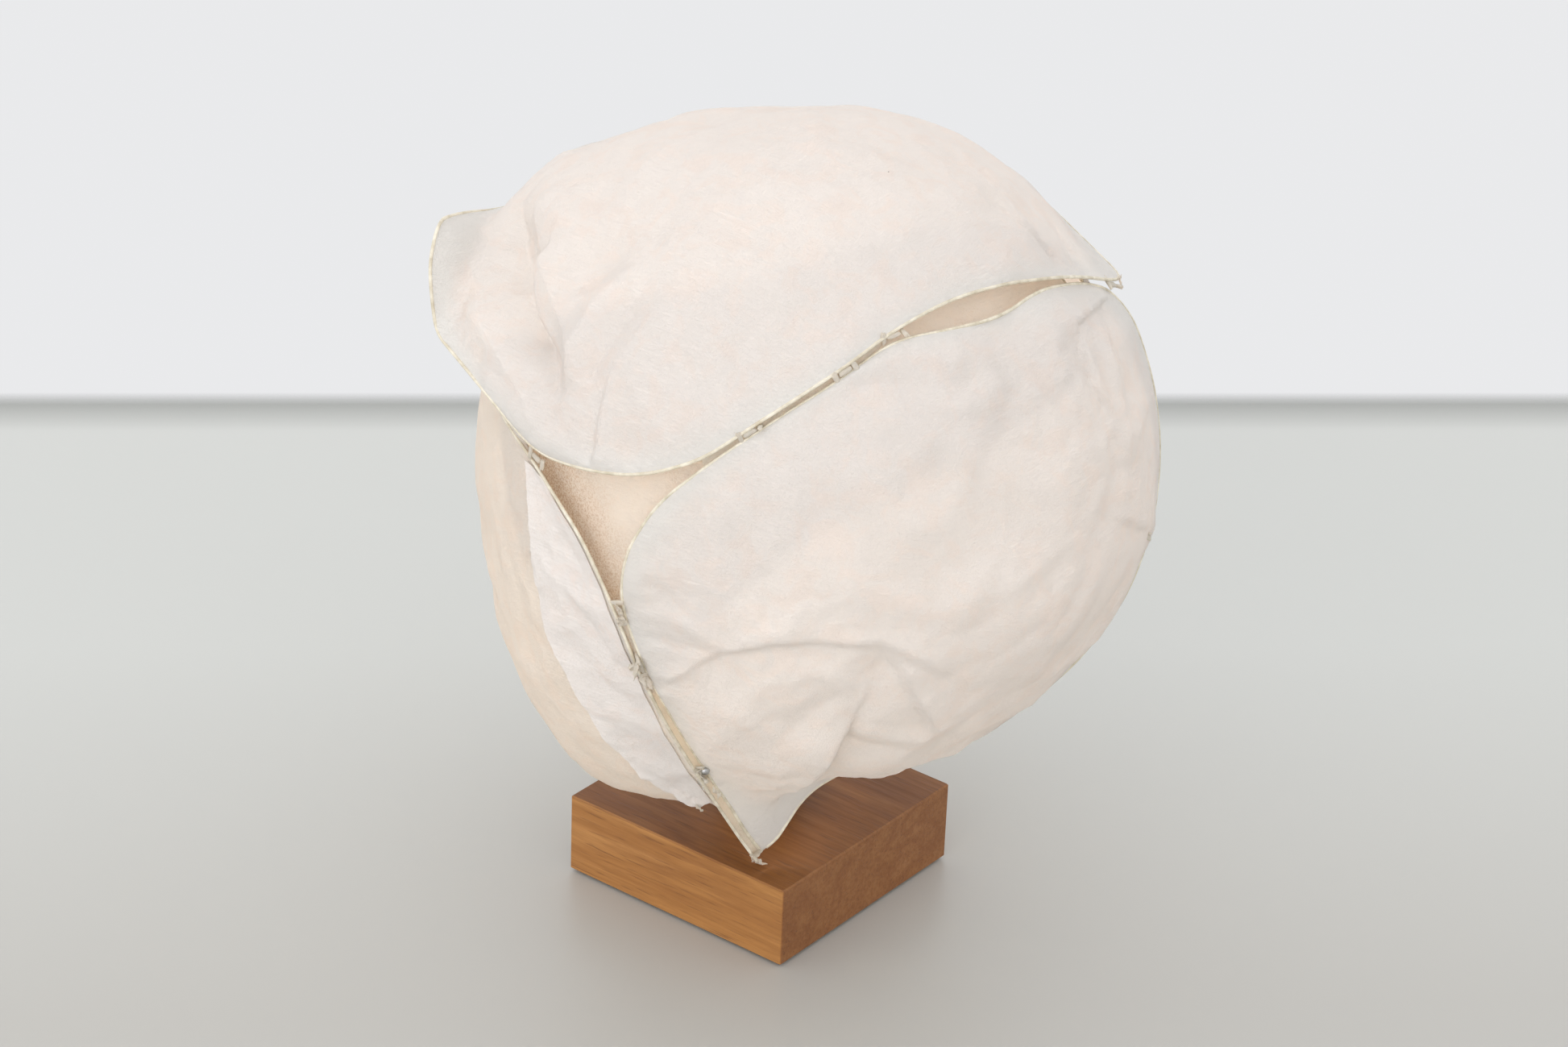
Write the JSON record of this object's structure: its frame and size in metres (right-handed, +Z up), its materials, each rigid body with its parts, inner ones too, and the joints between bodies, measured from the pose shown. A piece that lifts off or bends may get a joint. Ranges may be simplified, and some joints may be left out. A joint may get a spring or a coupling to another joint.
{
  "type": "paper table lantern",
  "caption": "Bud-shaped table lantern: overlapping papered wire petals lift off a slim lamp on a square hardwood block.",
  "frame": {"origin": "middle of the block's felted underside, where it stands on a table", "axes": "+Z up; the block's sides lie along X and Y; the face with the cord inlet looks along +Y, and the petals' seams face between +X and -Y"},
  "size_m": [0.2234, 0.2224, 0.2724],
  "materials": {
    "hardwood": "oiled straight-grained hardwood, satin, edges barely eased",
    "felt": "thin pressed felt",
    "cover_board": "dark fibre board, matt",
    "screw_steel": "zinc-plated steel",
    "black_rubber": "moulded rubber",
    "black_plastic": "moulded nylon, matt",
    "brown_lead": "lead insulation, satin",
    "blue_lead": "lead insulation, satin",
    "brass": "turned brass, satin",
    "holder_plastic": "moulded ivory phenolic, semi-gloss",
    "ceramic": "unglazed steatite",
    "black_glaze": "black vitrified insulator",
    "nickel": "nickel-plated screw cap",
    "lamp_plastic": "white moulded lamp collar",
    "lamp_glass": "opal glass, warm light inside",
    "lamp_board": "light-emitting strip on its post",
    "slip_plastic": "nylon washer",
    "spider_steel": "bright-drawn steel",
    "solder": "soft solder",
    "petal_wire": "tarnished binding wire with traces of paste and paper",
    "lantern_paper": "long-fibred handmade paper, off-white, translucent, creased",
    "inner_paper": "the same paper, lit from behind, with brown flecks of bark",
    "tie_paper": "torn paper strips, stiff with paste"
  },
  "bodies": {
    "base": {"base_block": "hardwood", "felt_pad": "felt", "base_cover": "cover_board", "cover_screws": "screw_steel", "cord_bush": "black_rubber", "cord_clamp_bar": "black_plastic", "clamp_screws": "screw_steel", "terminal_block": "black_plastic", "terminal_screws": "screw_steel", "live_lead": "brown_lead", "neutral_lead": "blue_lead", "stem_nipple": "brass", "stem_washer": "screw_steel", "stem_nut": "brass", "stem_flange": "brass", "holder_cap": "holder_plastic", "holder_shell": "holder_plastic", "holder_insert": "ceramic", "screw_liner": "brass", "centre_spring": "brass"},
    "lamp_rise": {"lamp_contact": "brass"},
    "lamp": {"lamp_insulator": "black_glaze", "lamp_screw_cap": "nickel", "lamp_collar": "lamp_plastic", "lamp_glass": "lamp_glass", "lamp_board": "lamp_board"},
    "slip": {"slip_washer": "slip_plastic"},
    "shade": {"spider_ring": "spider_steel", "front_arm": "spider_steel", "right_arm": "spider_steel", "back_arm": "spider_steel", "solder_beads": "solder", "front_petal_wire": "petal_wire", "top_petal_wire": "petal_wire", "left_petal_wire": "petal_wire", "back_petal_wire": "petal_wire", "inner_petal_wire": "petal_wire", "front_petal_paper": "lantern_paper", "top_petal_paper": "lantern_paper", "left_petal_paper": "lantern_paper", "back_petal_paper": "lantern_paper", "inner_petal_paper": "inner_paper", "left_petal_fold": "lantern_paper", "seam_ties": "tie_paper"}
  },
  "joints": [
    {"name": "lamp_rise", "type": "slide", "parent": "base", "child": "lamp_rise", "axis": [0, 0, 1], "range_m": [0, 0.0142]},
    {"name": "lamp_turn", "type": "hinge", "parent": "lamp_rise", "child": "lamp", "pos_m": [0, 0, 0.08], "axis": [0, 0, 1], "range_deg": [0, 1800]},
    {"name": "shade_turn", "type": "hinge", "parent": "base", "child": "slip", "pos_m": [0, 0, 0.06], "axis": [0, 0, 1], "continuous": true},
    {"name": "shade_lift", "type": "slide", "parent": "slip", "child": "shade", "axis": [0, 0, 1], "range_m": [0, 0.125]}
  ],
  "couplings": [
    {"joint": "lamp_rise", "follows": "lamp_turn", "m_per_rad": 0.00044882}
  ]
}
